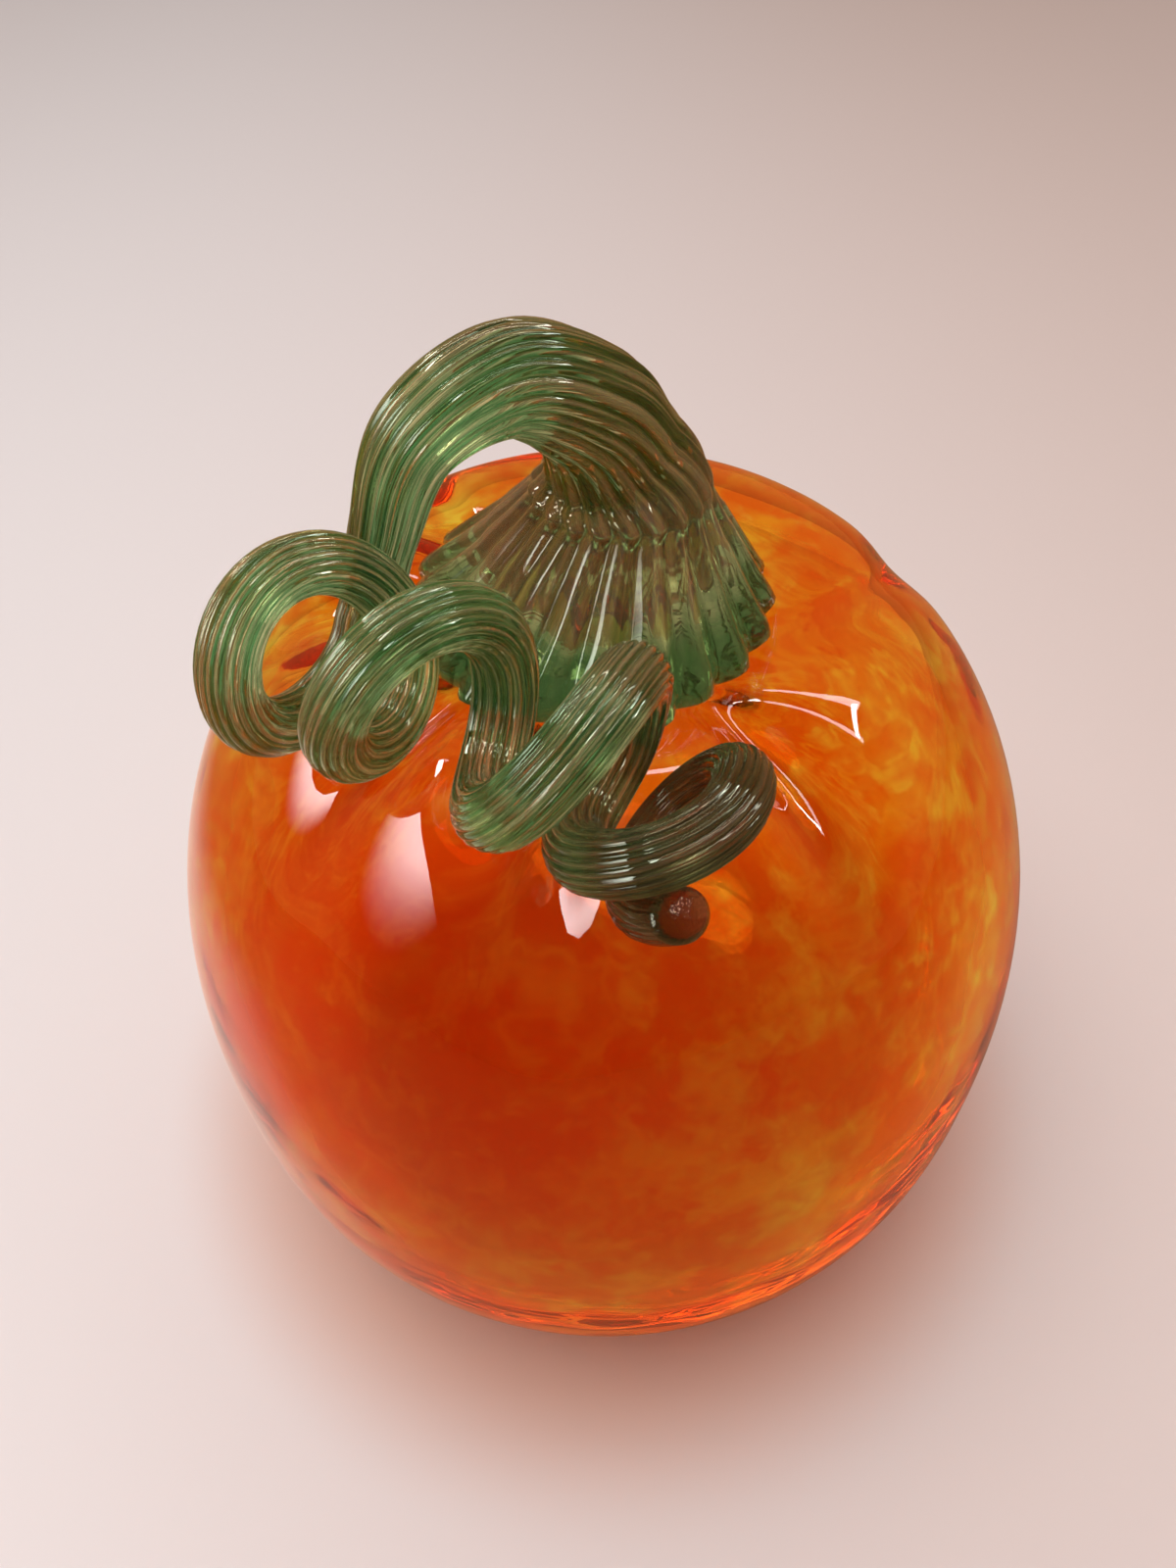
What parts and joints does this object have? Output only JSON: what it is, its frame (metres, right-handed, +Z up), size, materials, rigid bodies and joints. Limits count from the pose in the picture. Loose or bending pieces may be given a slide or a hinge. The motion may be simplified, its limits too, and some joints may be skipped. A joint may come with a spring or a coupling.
{
  "type": "glass pumpkin",
  "caption": "Hollow blown orange glass pumpkin with a flat foot and soft creases, and a solid ribbed green glass stem that flares over the neck, arches over and ends in a curled vine.",
  "frame": {"origin": "middle of the flat foot, on the table", "axes": "+Z up through the neck, -Y to the front where the vine curls, +X to the viewer's right"},
  "size_m": [0.16, 0.16, 0.1937],
  "materials": {
    "orange_glass": "fire polished, clear orange with amber veils",
    "green_glass": "fire polished, clear dark green with drawn ribs"
  },
  "bodies": {
    "root": {"body_shell": "orange_glass", "stem_crown": "green_glass", "stem_arch": "green_glass", "stem_vine": "green_glass"}
  },
  "joints": []
}
